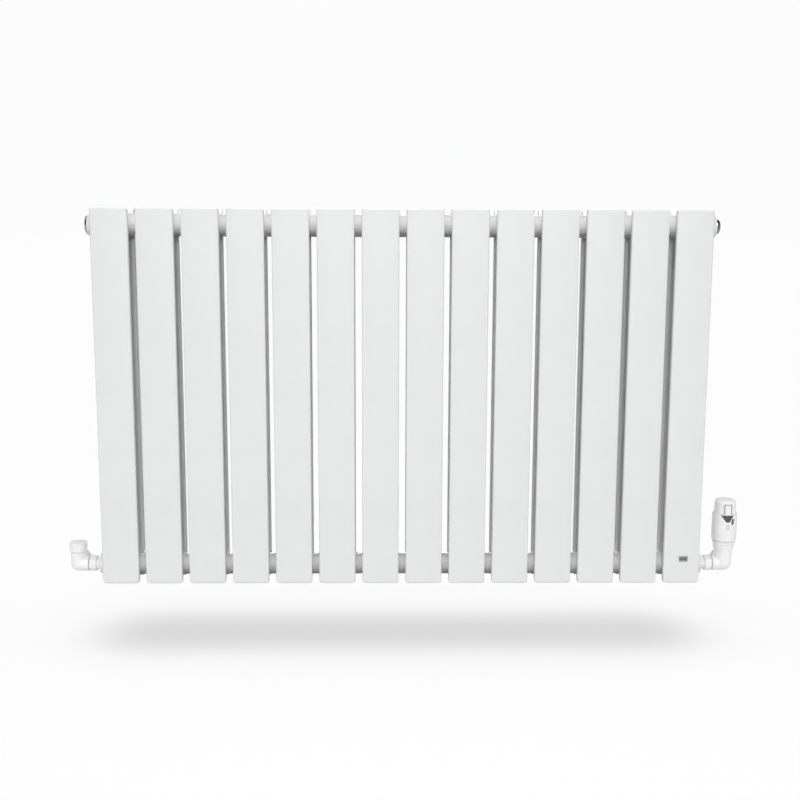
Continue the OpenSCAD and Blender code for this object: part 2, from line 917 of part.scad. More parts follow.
module lockshield_cap() {
    low = lock_cap_bottom;
    outline = concat(
        [[0, low], [lock_cap_bottom_d / 2, low], [lock_cap_d / 2, low + lock_cap_taper]],
        arc([lock_cap_d / 2 - lock_cap_edge_r, lock_cap_top - lock_cap_edge_r], lock_cap_edge_r, 0, 80),
        [[0, lock_cap_top + lock_cap_dome]]
    );
    hex_room = lock_gland_af / cos(30) + 2 * face_gap;
    color("whitesmoke") at_valve(-1)
        difference() {
            turned(outline);
            rod_z(hex_room, low - over, lock_gland_top + lock_cap_room);
            rod_z(lock_cap_bore, low, lock_spindle_top + lock_cap_room);
        }
}

// ---- nodes ----

for (k = [1:panel_count]) {
    front_panel(k);
    back_panel(k);
}
top_header();
bottom_header();
header_end_bushes();
badge_plate();
blanking_plug();
plug_seals();
air_vent_body();
bleed_screw();
hanging_lugs();
wall_brackets();
bracket_liners();
union_tails();
union_nuts();
compression_nuts();
olives();
trv_body();
trv_insert();
trv_gland();
trv_pin();
trv_spring();
trv_seat_disc();
trv_collar_nut();
trv_head_base();
trv_sensor();
trv_overtravel_spring();
trv_sleeve();
trv_cap();
lockshield_body();
lockshield_gland();
lockshield_spindle();
lockshield_plug();
lockshield_cap();
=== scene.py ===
import json
import math

import bmesh
import bpy
from mathutils import Matrix, Vector


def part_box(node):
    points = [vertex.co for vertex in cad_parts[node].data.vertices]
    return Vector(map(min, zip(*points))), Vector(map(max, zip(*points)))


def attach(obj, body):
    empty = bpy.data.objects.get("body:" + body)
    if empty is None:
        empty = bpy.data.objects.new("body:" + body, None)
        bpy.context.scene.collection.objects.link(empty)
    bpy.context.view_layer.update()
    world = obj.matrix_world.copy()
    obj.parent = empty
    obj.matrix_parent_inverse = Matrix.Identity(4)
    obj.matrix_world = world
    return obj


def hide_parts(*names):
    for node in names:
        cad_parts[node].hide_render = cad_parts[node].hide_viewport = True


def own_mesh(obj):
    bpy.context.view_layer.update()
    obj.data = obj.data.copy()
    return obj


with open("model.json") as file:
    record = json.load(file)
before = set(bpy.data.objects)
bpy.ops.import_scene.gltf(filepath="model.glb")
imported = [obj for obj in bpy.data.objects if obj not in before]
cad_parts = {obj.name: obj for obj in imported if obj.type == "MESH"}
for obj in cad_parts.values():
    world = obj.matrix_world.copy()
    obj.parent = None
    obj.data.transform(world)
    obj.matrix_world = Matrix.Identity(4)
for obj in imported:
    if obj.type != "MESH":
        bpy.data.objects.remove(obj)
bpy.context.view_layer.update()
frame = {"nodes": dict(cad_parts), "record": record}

MM = 0.001


# ---- places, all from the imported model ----

def centre(node):
    low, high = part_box(node)
    return (low + high) / 2


def panel_names(row):
    return sorted(name for name in frame["nodes"] if name.startswith(f"{row}_panel_"))


FRONT_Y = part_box("front_panel_01")[0].y
BACK_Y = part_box("back_panel_01")[1].y
PANEL_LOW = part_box("front_panel_01")[0].z
TOP_HEADER = centre("top_header")
BOTTOM_HEADER = centre("bottom_header")
HEADER_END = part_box("top_header")[1].x
BUSH_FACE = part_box("header_end_bushes")[1].x
# Both valve axes stand on the bottom header's height, and every valve height below is measured from it
TRV = Vector((centre("trv_collar_nut").x, BOTTOM_HEADER.y, BOTTOM_HEADER.z))
LOCKSHIELD = Vector((centre("lockshield_cap").x, BOTTOM_HEADER.y, BOTTOM_HEADER.z))

ALONG_X = Matrix.Rotation(math.radians(90), 4, "Y")
ALONG_MINUS_X = Matrix.Rotation(math.radians(-90), 4, "Y")
ALONG_Y = Matrix.Rotation(math.radians(-90), 4, "X")
ALONG_Z = Matrix.Identity(4)


# ---- outlines ----

def round_corners(points, steps=5):
    """A closed outline of (x, y) or (x, y, fillet radius) points, with an arc for each fillet."""
    out = []
    for i, point in enumerate(points):
        here = Vector(point[:2])
        radius = point[2] if len(point) > 2 else 0
        if not radius:
            out.append(tuple(here))
            continue
        before = (Vector(points[i - 1][:2]) - here).normalized()
        after = (Vector(points[(i + 1) % len(points)][:2]) - here).normalized()
        half = before.angle(after) / 2
        reach = radius / math.tan(half)
        start, end = here + before * reach, here + after * reach
        middle = here + (before + after).normalized() * radius / math.sin(half)
        a, b = start - middle, end - middle
        turn = math.atan2(a.x * b.y - a.y * b.x, a.dot(b))
        for k in range(steps + 1):
            t = turn * k / steps
            out.append((middle.x + a.x * math.cos(t) - a.y * math.sin(t),
                        middle.y + a.x * math.sin(t) + a.y * math.cos(t)))
    return out


def dense(points, longest):
    """The same closed outline with extra points, so that no side is longer than longest."""
    out = []
    for i, (x, y) in enumerate(points):
        nx, ny = points[(i + 1) % len(points)]
        count = max(1, math.ceil(math.hypot(nx - x, ny - y) / longest))
        out += [(x + (nx - x) * k / count, y + (ny - y) * k / count) for k in range(count)]
    return out


def hexagon(across_flats, angle):
    """Radius of a hexagon at an angle, with a corner at angle 0."""
    return across_flats / 2 / math.cos((angle + math.pi / 3) % (math.pi / 3) - math.pi / 6)


def soft_min(a, b, width):
    """The smaller of two lengths, rounded over where they cross."""
    h = max(width - abs(a - b), 0) / width
    return min(a, b) - h * h * width / 4


# ---- meshes ----

def finish_mesh(name, bm, sharp_degrees=40):
    """Turns a bmesh in millimetres into an object in metres, shaded smooth with sharp edges kept."""
    bmesh.ops.remove_doubles(bm, verts=bm.verts, dist=1e-4)
    bmesh.ops.recalc_face_normals(bm, faces=bm.faces)
    bmesh.ops.scale(bm, vec=(MM, MM, MM), verts=bm.verts)
    mesh = bpy.data.meshes.new(name)
    bm.to_mesh(mesh)
    bm.free()
    mesh.polygons.foreach_set("use_smooth", [True] * len(mesh.polygons))
    mesh.set_sharp_from_angle(angle=math.radians(sharp_degrees))
    piece = bpy.data.objects.new(name, mesh)
    bpy.context.scene.collection.objects.link(piece)
    return piece


def add_turned(bm, outline, place, segments=96, shape=None):
    """Revolves a closed outline of (radius, height) about place's own Z axis.
    shape(radius, height, angle) returns another radius, which makes hexagons, tabs and ripples."""
    rings = []
    for radius, height in outline:
        if radius < 1e-6:
            rings.append([bm.verts.new(place @ Vector((0, 0, height)))])
            continue
        ring = []
        for k in range(segments):
            angle = 2 * math.pi * k / segments
            r = shape(radius, height, angle) if shape else radius
            ring.append(bm.verts.new(place @ Vector((r * math.cos(angle), r * math.sin(angle), height))))
        rings.append(ring)
    for a, b in zip(rings, rings[1:] + rings[:1]):
        if len(a) == 1 and len(b) == 1:
            continue
        for k in range(segments):
            n = (k + 1) % segments
            corners = [a[k % len(a)], a[n % len(a)], b[n % len(b)], b[k % len(b)]]
            unique = list(dict.fromkeys(corners))
            if len(unique) > 2:
                bm.faces.new(unique)


def place_at(point, turn=ALONG_Z):
    """A matrix in millimetres that stands a turned outline at a point given in metres."""
    return Matrix.Translation(Vector(point) / MM) @ turn


def turned(name, outline, point, turn=ALONG_Z, segments=96, shape=None, sharp=40):
    bm = bmesh.new()
    add_turned(bm, outline, place_at(point, turn), segments, shape)
    return finish_mesh(name, bm, sharp)


def add_slab(bm, outlines, thickness, bevel, place):
    """A flat plate of the given outlines (the first is the edge, the rest are holes), with rounded edges.
    It lies in place's own XY plane, half its thickness on each side."""
    curve = bpy.data.curves.new("slab", "CURVE")
    curve.dimensions = "2D"
    curve.fill_mode = "BOTH"
    curve.extrude = thickness / 2 - bevel
    curve.bevel_depth = bevel
    curve.bevel_resolution = 2
    curve.offset = -bevel
    for points in outlines:
        spline = curve.splines.new("POLY")
        spline.points.add(len(points) - 1)
        for p, (x, y) in zip(spline.points, points):
            p.co = (x, y, 0, 1)
        spline.use_cyclic_u = True
    holder = bpy.data.objects.new("slab", curve)
    bpy.context.scene.collection.objects.link(holder)
    mesh = bpy.data.meshes.new_from_object(holder.evaluated_get(bpy.context.evaluated_depsgraph_get()))
    mesh.transform(place)
    bm.from_mesh(mesh)
    bpy.data.objects.remove(holder)
    bpy.data.curves.remove(curve)
    bpy.data.meshes.remove(mesh)


def circle(radius, x=0, y=0, steps=40):
    angles = (2 * math.pi * k / steps for k in range(steps))
    return [(x + radius * math.cos(a), y + radius * math.sin(a)) for a in angles]


def rectangle(width, height, radius):
    x, y = width / 2, height / 2
    return round_corners([(-x, -y, radius), (x, -y, radius), (x, y, radius), (-x, y, radius)])


# ---- materials ----

def nodes_of(name):
    material = bpy.data.materials.new(name)
    material.use_nodes = True
    tree = material.node_tree
    return material, tree, tree.nodes["Principled BSDF"]


def noise(tree, scale, detail=3.0, stretch=(1, 1, 1), roughness=0.5):
    """Noise in the piece's own coordinates. Its scale is in features a metre, before the stretch."""
    coordinates = tree.nodes.new("ShaderNodeTexCoord")
    mapping = tree.nodes.new("ShaderNodeMapping")
    mapping.inputs["Scale"].default_value = stretch
    texture = tree.nodes.new("ShaderNodeTexNoise")
    texture.inputs["Scale"].default_value = scale
    texture.inputs["Detail"].default_value = detail
    texture.inputs["Roughness"].default_value = roughness
    tree.links.new(coordinates.outputs["Object"], mapping.inputs["Vector"])
    tree.links.new(mapping.outputs["Vector"], texture.inputs["Vector"])
    return texture.outputs["Fac"]


def ramp(tree, factor, low, high, start=0.3, end=0.7):
    """Blends between two colours, or two greys, over the given stretch of the factor."""
    node = tree.nodes.new("ShaderNodeValToRGB")
    for stop, position, value in zip(node.color_ramp.elements, (start, end), (low, high)):
        stop.position = position
        stop.color = (*value, 1) if hasattr(value, "__len__") else (value, value, value, 1)
    tree.links.new(factor, node.inputs["Fac"])
    return node.outputs["Color"]


def bump(tree, shader, height, strength, distance, under=None):
    node = tree.nodes.new("ShaderNodeBump")
    node.inputs["Strength"].default_value = strength
    node.inputs["Distance"].default_value = distance
    tree.links.new(height, node.inputs["Height"])
    if under:
        tree.links.new(under, node.inputs["Normal"])
    tree.links.new(node.outputs["Normal"], shader.inputs["Normal"])
    return node.outputs["Normal"]


def tint(colour, factor):
    return tuple(min(1.0, c * factor) for c in colour)


def paint(name, colour, roughness, peel, peel_size, coat=0.0):
    """Sprayed and baked paint: orange peel of the given wavelength, fine dust and faint colour drift."""
    material, tree, shader = nodes_of(name)
    drift = noise(tree, 14, detail=2)
    tree.links.new(ramp(tree, drift, tint(colour, 0.985), tint(colour, 1.01)), shader.inputs["Base Color"])
    sheen = noise(tree, 60, detail=4)
    tree.links.new(ramp(tree, sheen, roughness * 0.88, roughness * 1.12), shader.inputs["Roughness"])
    coarse = bump(tree, shader, noise(tree, 1 / peel_size, detail=2), peel, peel_size * 0.06)
    bump(tree, shader, noise(tree, 5 / peel_size, detail=1), peel * 0.35, peel_size * 0.012, under=coarse)
    shader.inputs["Coat Weight"].default_value = coat
    shader.inputs["Coat Roughness"].default_value = 0.12
    return material


def metal(name, colour, roughness, stretch=(1, 1, 1), grain=700, scratch=0.25):
    """Bare metal whose grain is stretched along the way it was drawn, turned or brushed."""
    material, tree, shader = nodes_of(name)
    shader.inputs["Metallic"].default_value = 1.0
    cloud = noise(tree, 45, detail=3)
    tree.links.new(ramp(tree, cloud, tint(colour, 0.88), tint(colour, 1.06)), shader.inputs["Base Color"])
    lines = noise(tree, grain, detail=4, stretch=stretch, roughness=0.65)
    tree.links.new(ramp(tree, lines, roughness * 0.7, roughness * 1.35), shader.inputs["Roughness"])
    bump(tree, shader, lines, scratch, 0.00004)
    return material


def moulded(name, colour, roughness, texture_size=0.0006, depth=0.2, coat=0.0):
    """Moulded plastic or rubber with the fine spark texture of its tool."""
    material, tree, shader = nodes_of(name)
    drift = noise(tree, 30, detail=2)
    tree.links.new(ramp(tree, drift, tint(colour, 0.98), tint(colour, 1.015)), shader.inputs["Base Color"])
    spark = noise(tree, 1 / texture_size, detail=5, roughness=0.6)
    tree.links.new(ramp(tree, spark, roughness * 0.85, roughness * 1.2), shader.inputs["Roughness"])
    bump(tree, shader, spark, depth, texture_size * 0.08)
    shader.inputs["Coat Weight"].default_value = coat
    return material


PANEL_WHITE = (0.835, 0.84, 0.84)
VALVE_WHITE = (0.87, 0.87, 0.865)
MATERIALS = {
    "panel_paint": paint("satin_powder_coat", PANEL_WHITE, 0.42, 0.35, 0.0012),
    "header_paint": paint("header_powder_coat", (0.80, 0.80, 0.79), 0.50, 0.8, 0.0016),
    "bracket_paint": paint("bracket_powder_coat", (0.82, 0.82, 0.81), 0.46, 0.6, 0.0012),
    "valve_paint": paint("gloss_lacquer", VALVE_WHITE, 0.24, 0.25, 0.0025, coat=0.4),
    "head_plastic": moulded("head_moulding", VALVE_WHITE, 0.30, coat=0.15),
    "sleeve_plastic": moulded("sleeve_moulding", VALVE_WHITE, 0.36, texture_size=0.0008),
    "cap_plastic": moulded("lockshield_moulding", VALVE_WHITE, 0.32),
    "chrome": metal("chrome_plate", (0.30, 0.30, 0.31), 0.14, grain=260, scratch=0.08),
    "badge_metal": metal("brushed_badge", (0.36, 0.36, 0.36), 0.36, stretch=(0.06, 1, 1), grain=2600),
    "seal_rubber": moulded("black_rubber", (0.03, 0.03, 0.032), 0.7, depth=0.4),
    "liner_nylon": moulded("natural_nylon", (0.70, 0.69, 0.65), 0.5),
    "olive_brass": metal("soft_brass", (0.75, 0.53, 0.27), 0.32),
    "brass": metal("turned_brass", (0.78, 0.58, 0.28), 0.24, stretch=(0.2, 0.2, 3), grain=900),
    "pin_steel": metal("turned_steel", (0.60, 0.60, 0.61), 0.22, stretch=(0.2, 0.2, 3), grain=900),
    "spring_steel": metal("drawn_wire", (0.46, 0.46, 0.47), 0.28),
    "sensor_shell": metal("pressed_aluminium", (0.68, 0.68, 0.69), 0.34),
}
MARK_DARK = moulded("printed_mark_dark", (0.075, 0.075, 0.08), 0.45)
MARK_GREY = moulded("printed_mark_grey", (0.30, 0.30, 0.31), 0.45)
# Dark grey for the cap's tab: painted shade in the two lines along its sides, print in the bar across
# their tops
TAB_SHADE_AND_PRINT_GREY = moulded("painted_tab_shade_and_print_grey", (0.13, 0.13, 0.135), 0.45)
BADGE_FIELD = moulded("badge_enamel", (0.15, 0.15, 0.155), 0.5)


def dress(piece, body, slot, *replaced, material=None):
    """Gives a new piece its finish and ties it to a body and to the CAD nodes that it stands for."""
    piece.data.materials.clear()
    piece.data.materials.append(material or MATERIALS[slot])
    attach(piece, body)
    if replaced:
        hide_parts(*replaced)
    return piece


def dress_cad_nodes():
    """Every CAD node gets its finish, the ones inside the valves too."""
    slots = {part["node"]: part["material_slot"] for part in frame["record"]["subparts"]}
    for name, node in frame["nodes"].items():
        node.data.materials.clear()
        node.data.materials.append(MATERIALS[slots[name]])


# ---- panels and headers ----

PANEL_T = 10
PANEL_EDGE_R = 2.5
PANEL_TOP_R = 1.5
PANEL_BOTTOM_R = 4
PANEL_LIP_R = 1.3


def corner_inset(distance, radius):
    """How far a round corner draws the side in, at a distance from the end."""
    if distance >= radius:
        return 0
    return radius - math.sqrt(radius ** 2 - (radius - distance) ** 2)


def panel_mesh(width, height):
    """One closed panel about its own centre, lofted from the bottom end to the top end."""
    bm = bmesh.new()
    steps = [0, 0.02, 0.08, 0.2, 0.4, 0.7, 1.0, 1.3, 1.5, 2, 2.7, 3.4, 4, 8, 30]
    levels = [(d, PANEL_BOTTOM_R, -height / 2 + d) for d in steps]
    levels += [(height / 2, PANEL_TOP_R, 0)]
    levels += [(d, PANEL_TOP_R, height / 2 - d) for d in reversed(steps)]
    rings = []
    for distance, corner, z in levels:
        w = width - 2 * corner_inset(distance, corner)
        t = PANEL_T - 2 * corner_inset(distance, PANEL_LIP_R)
        edge_r = min(PANEL_EDGE_R, t / 2 - 0.05)
        rings.append([bm.verts.new((x, y, z)) for x, y in rectangle(w, t, edge_r)])
    for a, b in zip(rings, rings[1:]):
        for k in range(len(a)):
            n = (k + 1) % len(a)
            bm.faces.new([a[k], a[n], b[n], b[k]])
    bm.faces.new(reversed(rings[0]))
    bm.faces.new(rings[-1])
    return finish_mesh("panel", bm, 50)


def build_panels():
    low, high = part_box("front_panel_01")
    pattern = panel_mesh((high.x - low.x) / MM, (high.z - low.z) / MM)
    for row, y in (("front", FRONT_Y + PANEL_T * MM / 2), ("back", BACK_Y - PANEL_T * MM / 2)):
        for name in panel_names(row):
            piece = bpy.data.objects.new(name.replace("_panel_", "_radiator_panel_"), pattern.data)
            bpy.context.scene.collection.objects.link(piece)
            piece.location = (centre(name).x, y, centre(name).z)
            dress(piece, "radiator", "panel_paint", name)
    bpy.data.objects.remove(pattern)


STUB_R = 8
BEAD = 1.5


def weld_ripple(radius, height, angle):
    """The scales of a weld bead, only where the outline bulges past the stub."""
    return radius + (0.12 * math.sin(26 * angle) if radius > STUB_R + 0.3 else 0)


def build_stubs():
    """Short stubs that join each panel to the headers, with a weld bead on the panel and on the header."""
    outline = round_corners([
        (0, -0.4), (STUB_R + BEAD, -0.4), (STUB_R + BEAD, 0.1), (STUB_R + 0.4, 0.9, 0.6),
        (STUB_R, 2.2), (STUB_R, 4), (0, 4)], steps=3)
    for row, face_y, turn in (("front", FRONT_Y + PANEL_T * MM, ALONG_Y),
                              ("back", BACK_Y - PANEL_T * MM, ALONG_Y @ Matrix.Rotation(math.pi, 4, "X"))):
        bm = bmesh.new()
        for name in panel_names(row):
            for z in (TOP_HEADER.z, BOTTOM_HEADER.z):
                add_turned(bm, outline, place_at((centre(name).x, face_y, z), turn), 52, weld_ripple)
        dress(finish_mesh(f"{row}_stub_welds", bm), "radiator", "header_paint")


def build_headers():
    low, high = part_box("top_header")
    outer, inner, half = (high.z - low.z) / 2 / MM, (high.z - low.z) / 2 / MM - 2, HEADER_END / MM
    outline = dense(round_corners([
        (inner, -half), (outer, -half, 0.4), (outer, half, 0.4), (inner, half)]), 35)
    for name, place in (("top_header", TOP_HEADER), ("bottom_header", BOTTOM_HEADER)):
        dress(turned(name + "_tube", outline, place, ALONG_X), "radiator", "header_paint", name)


def build_bushes():
    """Threaded bushes in the header ends, each with its weld bead on the tube's end."""
    length = (BUSH_FACE - HEADER_END) / MM
    bush = round_corners([
        (10.5, -length - 8), (15.4, -length - 8), (15.4, -length), (17, -length), (17, -1.2, 0.5),
        (15.8, 0, 0.5), (12, 0, 0.25), (12, -1.2), (10.5, -1.2)])
    bead = [(17.3 + 0.75 * math.cos(a), -length + 0.9 * math.sin(a))
            for a in (2 * math.pi * k / 12 for k in range(12))]
    bm = bmesh.new()
    for side, turn in ((1, ALONG_X), (-1, ALONG_MINUS_X)):
        for header in (TOP_HEADER, BOTTOM_HEADER):
            place = place_at((side * BUSH_FACE, header.y, header.z), turn)
            add_turned(bm, bush, place)
            add_turned(bm, bead, place, 144, lambda r, h, a: r + 0.1 * math.sin(48 * a))
    dress(finish_mesh("end_bushes", bm), "radiator", "header_paint", "header_end_bushes")


# ---- fittings in the top header ----

def build_plug():
    af = 8

    def shape(radius, height, angle):
        return hexagon(af, angle) if radius < 4.1 else radius

    outline = round_corners([
        (0, -10), (10.4, -10), (10.4, 0), (14.5, 0), (14.5, 2.4, 0.5), (13.3, 3.4, 0.7), (8, 3.6, 2),
        (4.0, 3.6), (4.0, -1.4), (0, -1.6)], steps=4)
    point = (-BUSH_FACE, TOP_HEADER.y, TOP_HEADER.z)
    plug = turned("end_plug", outline, point, ALONG_MINUS_X, 96, shape, 30)
    dress(plug, "radiator", "chrome", "blanking_plug")


def build_vent():
    """A round flange, a hexagon for the spanner and a round recess with the bleed screw in it."""
    reach, af = 6.8, 19.5

    def shape(radius, height, angle):
        return soft_min(radius, hexagon(af, angle), 0.35) if radius > 6 and height > 1.9 else radius

    outline = dense(round_corners([
        (3.1, -10), (10.4, -10), (10.4, 0), (14.3, 0), (14.3, 1.0, 0.5), (13.5, 1.8, 0.5),
        (11.4, 1.8), (11.4, 1.95), (11.4, reach - 1.4), (9.4, reach, 0.3), (5.0, reach, 0.3),
        (5.0, 2.4), (3.1, 2.4)]), 1.2)
    point = (BUSH_FACE, TOP_HEADER.y, TOP_HEADER.z)
    vent = turned("vent_plug", outline, point, ALONG_X, 144, shape, 30)
    dress(vent, "radiator", "chrome", "air_vent_body")
    bm = bmesh.new()
    place = place_at(point, ALONG_X)
    add_turned(bm, round_corners([(0, -9), (2.94, -9), (2.94, 2.7, 0.3), (0, 2.7)]), place, 48)
    add_slab(bm, [rectangle(5, 5, 0.5)], 3.9, 0.35, place @ Matrix.Translation((0, 0, 4.45)))
    dress(finish_mesh("bleed_key", bm, 30), "bleed_screw", "chrome", "bleed_screw")


def build_badge():
    """A small plain plate: brushed metal with a dark enamel band and no marks on it."""
    low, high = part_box("badge_plate")
    size = (high - low) / MM
    facing = Matrix.Translation(((low + high) / 2) / MM) @ Matrix.Rotation(math.radians(90), 4, "X")
    band_proud = 0.12
    behind = Matrix.Translation((0, 0, -band_proud / 2))
    bm = bmesh.new()
    add_slab(bm, [rectangle(size.x, size.z, 1.2)], size.y - band_proud, 0.25, facing @ behind)
    dress(finish_mesh("maker_plate", bm, 30), "radiator", "badge_metal", "badge_plate")
    bm = bmesh.new()
    proud = Matrix.Translation((0, 0, size.y / 2 - 0.1))
    add_slab(bm, [rectangle(size.x - 3, size.z * 0.55, 1)], 0.2, 0.06, facing @ proud)
    dress(finish_mesh("maker_plate_band", bm, 30), "radiator", "badge_metal", material=BADGE_FIELD)


# ---- union joints and compression nuts ----

def side_of(valve):
    """1 for the right-hand valve and -1 for the left-hand one, with the turn that points outwards."""
    return (1, ALONG_X) if valve.x > 0 else (-1, ALONG_MINUS_X)


def build_unions():
    nut_af = 24.6
    tail = round_corners([
        (6.5, -9), (10.4, -9), (10.4, 0), (10.2, 0.6, 0.2), (10.2, 10), (11.2, 10), (11.2, 12.5),
        (6.5, 12.5)])
    nut = dense(round_corners([
        (10.7, 6.5), (11.4, 6.5, 0.3), (12.9, 7.8, 0.5), (12.9, 17.3, 0.4), (12.1, 18.1, 0.3),
        (11.45, 18.1), (11.45, 10), (10.7, 10)]), 1.3)

    def shape(radius, height, angle):
        return soft_min(radius, hexagon(nut_af, angle), 0.4) if radius > 11.7 else radius

    tails, nuts = bmesh.new(), bmesh.new()
    for valve in (TRV, LOCKSHIELD):
        side, turn = side_of(valve)
        place = place_at((side * BUSH_FACE, valve.y, valve.z), turn)
        add_turned(tails, tail, place)
        add_turned(nuts, nut, place, 144, shape)
    dress(finish_mesh("valve_tails", tails), "radiator", "valve_paint", "union_tails")
    dress(finish_mesh("valve_union_nuts", nuts, 30), "radiator", "valve_paint", "union_nuts")


def build_compression_nuts():
    af = 25
    outline = dense(round_corners([
        (11.05, 17.6), (13.3, 17.6, 0.2), (14.4, 18.8, 0.3), (14.4, 31), (12, 33, 0.4), (7.6, 33, 0.4),
        (7.6, 31.4), (9.5, 28.4), (11.05, 28.4)]), 1.2)

    def shape(radius, height, angle):
        return soft_min(radius, hexagon(af, angle), 0.4) if radius > 11.7 else radius

    bm = bmesh.new()
    for valve in (TRV, LOCKSHIELD):
        add_turned(bm, outline, place_at(valve, ALONG_Y), 144, shape)
    dress(finish_mesh("pipe_nuts", bm, 30), "radiator", "valve_paint", "compression_nuts")


# ---- valve bodies ----

def cast_body(name, body_d, side, neck, point):
    """A corner valve's casting: its arms and round heel run into each other with soft fillets."""
    bm = bmesh.new()
    here = place_at(point)
    towards_bush = here @ (ALONG_MINUS_X if side > 0 else ALONG_X)
    towards_wall = here @ ALONG_Y
    r = body_d / 2
    heel_z = r - 12.5
    ball = [(r * math.sin(a), heel_z - r * math.cos(a)) for a in (math.pi * k / 32 for k in range(33))]
    ball[0], ball[-1] = (0, heel_z - r), (0, heel_z + r)
    add_turned(bm, ball, here)
    add_turned(bm, neck, here)
    reach = abs(point.x) / MM - BUSH_FACE / MM
    add_turned(bm, [(0, 0), (12.5, 0), (12.5, reach - 19.4), (9.8, reach - 19.4), (9.8, reach - 12.7),
                    (0, reach - 12.7)], towards_bush)
    add_turned(bm, [(0, 0), (12.5, 0), (12.5, 17), (11, 17), (11, 27), (0, 27)], towards_wall)
    solid = finish_mesh(name, bm)
    blend = solid.modifiers.new("blend", "REMESH")
    blend.mode = "VOXEL"
    blend.voxel_size = 0.0005
    soften = solid.modifiers.new("soften", "SMOOTH")
    soften.factor = 0.5
    soften.iterations = 9
    cutters = bmesh.new()
    for place, outline in (
            (towards_wall, [(0, 11), (5, 11), (5, 15), (7.6, 15), (7.6, 29), (0, 29)]),
            (towards_bush, [(0, reach - 25), (6.5, reach - 25), (6.5, reach - 11), (0, reach - 11)])):
        add_turned(cutters, outline, place, 64)
    cutter = finish_mesh(name + "_bores", cutters)
    bores = solid.modifiers.new("bores", "BOOLEAN")
    bores.object = cutter
    bores.solver = "EXACT"
    cast = bpy.data.meshes.new_from_object(solid.evaluated_get(bpy.context.evaluated_depsgraph_get()))
    solid.modifiers.clear()
    solid.data = cast
    cast.polygons.foreach_set("use_smooth", [True] * len(cast.polygons))
    cast.set_sharp_from_angle(angle=math.radians(50))
    bpy.data.objects.remove(cutter)
    return solid


def build_bodies():
    trv_neck = [(0, 0), (14, 0), (14, 24), (13.7, 24), (13.7, 28.9), (0, 28.9)]
    dress(cast_body("trv_casting", 28, 1, trv_neck, TRV), "radiator", "valve_paint", "trv_body")
    lock_neck = [(0, 0), (12.5, 0), (12.5, 19.2), (0, 19.2)]
    dress(cast_body("lockshield_casting", 25, -1, lock_neck, LOCKSHIELD), "radiator", "valve_paint",
          "lockshield_body")


# ---- thermostatic head ----

CAP_R = 17.7
CAP_TOP_R = 16.7
CAP_LOW = 85.3
CAP_EDGE_R = 5
CAP_TOP = 108.5
CAP_DOME = 1.2
TAB_HALF = 6.5
TAB_LOW = 85.4
TAB_HIGH = 102
TAB_PROUD = 0.9
SLEEVE_LOW = 39.8
SLEEVE_HIGH = 85
SLEEVE_MAX_R = 19.9
SLEEVE_BARREL_R = 600
SLEEVE_WIDEST = 62


def sleeve_radius(z):
    return SLEEVE_MAX_R - SLEEVE_BARREL_R + math.sqrt(SLEEVE_BARREL_R ** 2 - (z - SLEEVE_WIDEST) ** 2)


def tab_height(radius, height, angle):
    """The cap's raised pointer tab, which faces the room, with a narrow groove at each side."""
    if radius < 15 or not CAP_LOW <= height < TAB_HIGH + 2:
        return radius
    across = radius * math.sin(angle + math.pi / 2)
    if math.cos(angle + math.pi / 2) < 0:
        return radius
    beyond_side = abs(across) - TAB_HALF
    beyond_top = height - TAB_HIGH
    outside = max(beyond_side, beyond_top)
    rise = min(1, max(0, 0.5 - outside / 0.7))
    groove = max(0, 1 - abs(outside - 0.75) / 0.55) if beyond_top < 1.4 and beyond_side < 1.4 else 0
    return radius + TAB_PROUD * rise * rise * (3 - 2 * rise) - 0.55 * groove


def build_head():
    collar = round_corners([
        (13.8, 24.2), (16.2, 24.2, 0.6), (16.9, 32.4, 0.7), (12.1, 32.4), (12.1, 31.1), (13.8, 31.1)])
    dress(turned("head_collar", collar, TRV), "radiator", "valve_paint", "trv_collar_nut")

    base = round_corners([
        (7, 29.1), (13.5, 29.1), (13.5, 31), (12, 31), (12, 32.8), (17.45, 32.8, 0.5), (18.45, 38.6, 0.45),
        (15, 38.6), (15, 84), (13.7, 84), (13.7, 41.6), (7, 41.6)])
    dress(turned("head_core", base, TRV), "radiator", "head_plastic", "trv_head_base")

    step = (SLEEVE_HIGH - SLEEVE_LOW - 4) / 20
    side = [(sleeve_radius(z), z) for z in (SLEEVE_LOW + 2 + k * step for k in range(21))]
    sleeve = round_corners(
        [(15.06, SLEEVE_LOW), (sleeve_radius(SLEEVE_LOW), SLEEVE_LOW, 0.5)] + side
        + [(sleeve_radius(SLEEVE_HIGH), SLEEVE_HIGH, 0.6), (15.06, SLEEVE_HIGH), (15.06, 79), (16.5, 79),
           (16.5, 45.2), (15.06, 45.2)])
    dress(turned("head_sleeve", sleeve, TRV, segments=144), "trv_sleeve", "sleeve_plastic", "trv_sleeve")

    arc_r, arc_z = CAP_TOP_R - CAP_EDGE_R, CAP_TOP - CAP_DOME - CAP_EDGE_R
    shell = [(13.7, CAP_LOW), (CAP_R, CAP_LOW)]
    shell += [(CAP_R + (CAP_TOP_R - CAP_R) * k / 40, CAP_LOW + (arc_z - CAP_LOW) * k / 40)
              for k in range(1, 40)]
    shell += [(arc_r + CAP_EDGE_R * math.cos(a), arc_z + CAP_EDGE_R * math.sin(a))
              for a in (math.radians(78 * k / 14) for k in range(15))]
    rim_r, rim_z = shell[-1]
    shell += [(rim_r * (1 - k / 6), CAP_TOP - (CAP_TOP - rim_z) * (1 - k / 6) ** 2) for k in range(1, 7)]
    shell += [(0, CAP_TOP - 2), (10, CAP_TOP - 3), (14.6, 100), (15.6, CAP_LOW + 1.6),
              (13.7, CAP_LOW + 1.6)]
    cap = turned("head_cap", shell, TRV, segments=288, shape=tab_height, sharp=50)
    dress(cap, "radiator", "head_plastic", "trv_cap")
